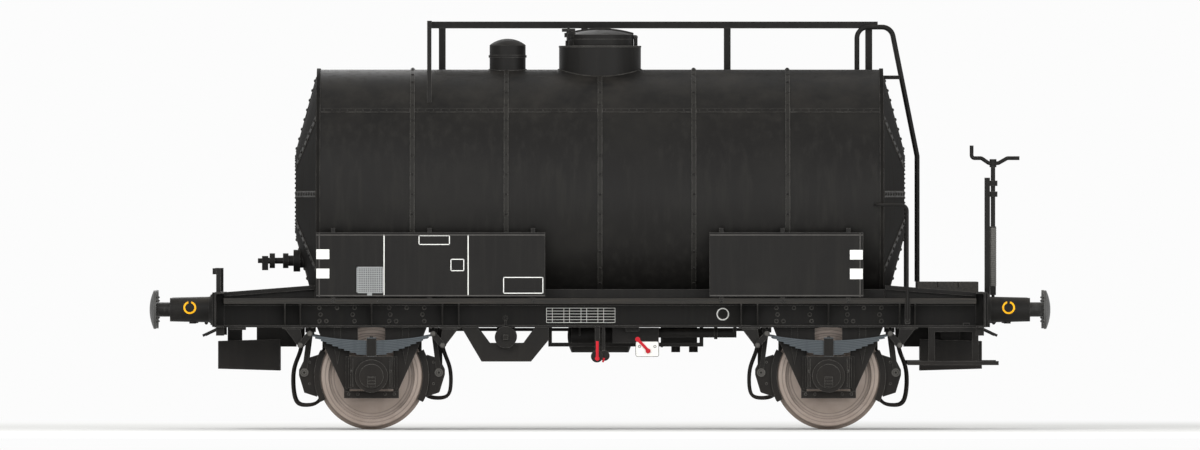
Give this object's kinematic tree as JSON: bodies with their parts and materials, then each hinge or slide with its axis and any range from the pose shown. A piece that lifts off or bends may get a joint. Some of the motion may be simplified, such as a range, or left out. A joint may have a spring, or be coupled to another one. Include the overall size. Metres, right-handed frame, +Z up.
{
  "type": "railway tank car",
  "caption": "Two-axle railway tank car with a riveted drum tank, manhole dome, top walkway with end ladder, screw handbrake, leaf springs and buffers.",
  "frame": {"origin": "middle of the wagon's length and width, level with the lowest point of the wheel flanges", "axes": "+X along the wagon towards the handbrake and ladder end, +Y across towards the walkway side, +Z up"},
  "size_m": [8.87, 2.636, 4.027],
  "materials": {
    "tank_paint": "semi-matt near-black oil paint over riveted plate",
    "frame_paint": "matt near-black underframe paint",
    "walkway_wood": "planks stained and painted black, worn along the edges",
    "wheel_steel": "brown-grey rolled steel with a thin film of rust",
    "spring_steel": "slate-grey oiled spring steel",
    "buffer_steel": "greased dark steel",
    "board_paint": "near-black painted sheet with thin white lines",
    "red_paint": "bright red gloss paint",
    "white_paint": "white enamel"
  },
  "bodies": {
    "wagon": {"air_reservoir": "frame_paint", "axle_guards_brake_end": "frame_paint", "axle_guards_valve_end": "frame_paint", "axleboxes": "frame_paint", "brake_beams": "frame_paint", "brake_blocks": "frame_paint", "brake_cylinder": "frame_paint", "brake_hangers": "frame_paint", "brake_levers": "red_paint", "buffer_housings": "frame_paint", "buffer_plungers": "buffer_steel", "changeover_plate": "white_paint", "couplings": "frame_paint", "cradle": "frame_paint", "cross_members": "frame_paint", "dome_fittings": "frame_paint", "draw_hooks": "frame_paint", "end_outlet_valve": "frame_paint", "end_platform": "walkway_wood", "end_steps": "frame_paint", "end_wedges": "frame_paint", "equipment_boxes": "frame_paint", "grab_rails": "frame_paint", "handbrake_crank": "frame_paint", "handbrake_post": "frame_paint", "handbrake_spindle": "frame_paint", "hanger_brackets": "frame_paint", "headstocks": "frame_paint", "info_boards": "board_paint", "inner_sills": "frame_paint", "ladder": "frame_paint", "lamp_brackets": "frame_paint", "leaf_springs": "spring_steel", "manhole_dome": "tank_paint", "outlet_pipes": "frame_paint", "outlet_trays": "frame_paint", "pull_rods": "frame_paint", "relay_box": "frame_paint", "saddle_bearers": "frame_paint", "safety_loops": "frame_paint", "shunter_handles": "frame_paint", "side_planks": "walkway_wood", "side_ribs": "frame_paint", "solebars": "frame_paint", "spring_brackets": "frame_paint", "spring_shackles": "spring_steel", "tank_bands": "tank_paint", "tank_barrel": "tank_paint", "tank_ends": "tank_paint", "vent_dome": "tank_paint", "walkway_planks": "walkway_wood", "walkway_supports": "frame_paint"},
    "wheelset_valve_end": {"axle_valve_end": "wheel_steel", "wheels_valve_end": "wheel_steel"},
    "wheelset_brake_end": {"axle_brake_end": "wheel_steel", "wheels_brake_end": "wheel_steel"},
    "manhole_cover": {"manhole_lid": "tank_paint", "lid_bolts": "frame_paint"}
  },
  "joints": [
    {"name": "wheelset_valve_end_spin", "type": "hinge", "parent": "wagon", "child": "wheelset_valve_end", "pos_m": [-2.25, 0, 0.528], "axis": [0, 1, 0], "continuous": true},
    {"name": "wheelset_brake_end_spin", "type": "hinge", "parent": "wagon", "child": "wheelset_brake_end", "pos_m": [2.25, 0, 0.528], "axis": [0, 1, 0], "continuous": true},
    {"name": "lid_hinge", "type": "hinge", "parent": "wagon", "child": "manhole_cover", "pos_m": [0.352, 0, 3.869], "axis": [0, 1, 0], "range_deg": [0, 110]}
  ]
}
